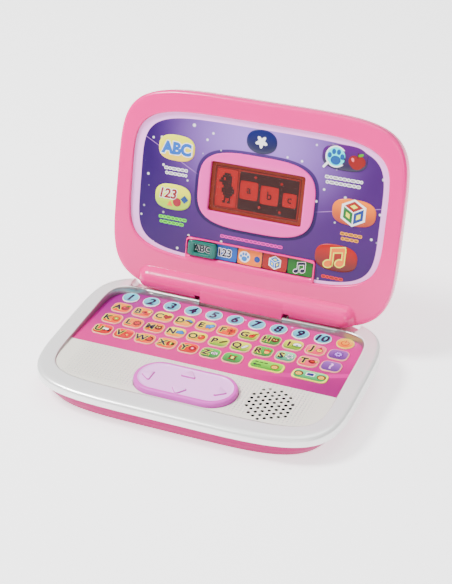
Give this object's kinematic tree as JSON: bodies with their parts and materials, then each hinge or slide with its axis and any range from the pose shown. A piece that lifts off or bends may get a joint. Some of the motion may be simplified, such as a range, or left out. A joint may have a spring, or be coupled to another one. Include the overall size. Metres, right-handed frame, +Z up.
{
  "type": "toy laptop computer",
  "caption": "Toy laptop with a hinged lid, small lit screen, sliding mode selector, printed membrane keyboard, tilting four-way pad and loudspeaker grille.",
  "frame": {"origin": "on the floor plane under the middle of the box around the toy with its lid open as shown", "axes": "+X is the right-hand side for the player, +Y points to the hinge side, +Z is up"},
  "size_m": [0.242, 0.2058, 0.1815],
  "materials": {
    "silver": "pearl silver, smooth",
    "magenta": "smooth gloss",
    "palm": "pearl with fine raised dots",
    "overlay": "printed film, satin",
    "film": "clear printed film",
    "inner_white": "matt",
    "board": "green circuit board",
    "black": "matt black",
    "dome": "soft matt",
    "pivot": "matt",
    "lilac": "soft gloss",
    "cell": "printed sleeve",
    "contact": "plated spring steel",
    "foot": "matt",
    "steel": "zinc plated",
    "pink": "smooth gloss",
    "panel": "printed, glossy",
    "lens": "clear",
    "lcd": "lit display",
    "label": "printed label",
    "teal": "smooth gloss",
    "brass": "sprung brass"
  },
  "bodies": {
    "base": {"top_frame": "silver", "bottom_shell": "magenta", "palm_rest": "palm", "keyboard_overlay": "overlay", "membrane_circuit": "film", "keyboard_plate": "inner_white", "main_board": "board", "board_chips": "black", "speaker": "black", "pad_board": "board", "pad_domes": "dome", "batteries": "cell", "battery_contacts": "contact", "battery_door": "magenta", "door_screw": "steel", "feet": "foot", "case_screws": "steel", "hinge_pins": "steel"},
    "lid": {"lid_back": "pink", "lid_bezel": "pink", "lid_panel": "panel", "lcd_frame": "pink", "lcd_window": "lens", "lcd_glass": "lcd", "lcd_backlight": "inner_white", "lid_board": "board", "hinge_ribbon": "film", "selector_label": "label", "lid_screws": "steel"},
    "selector": {"selector_knob": "teal", "selector_contact": "brass"},
    "pad_gimbal": {"rocker_pivot": "pivot"},
    "pad": {"rocker_pad": "lilac"}
  },
  "joints": [
    {"name": "lid_hinge", "type": "hinge", "parent": "base", "child": "lid", "pos_m": [0, 0.05207, 0.0318], "axis": [1, 0, 0], "range_deg": [-8, 106.2]},
    {"name": "selector_slide", "type": "slide", "parent": "lid", "child": "selector", "axis": [1, 0, 0], "range_m": [0, 0.0788]},
    {"name": "pad_pitch", "type": "hinge", "parent": "base", "child": "pad_gimbal", "pos_m": [0, -0.06523, 0.0165], "axis": [1, 0, 0], "range_deg": [-2, 2], "stiffness_Nm_per_rad": 0.5},
    {"name": "pad_roll", "type": "hinge", "parent": "pad_gimbal", "child": "pad", "pos_m": [0, -0.06523, 0.0165], "axis": [0, 1, 0], "range_deg": [-1.5, 1.5], "stiffness_Nm_per_rad": 1.3}
  ]
}
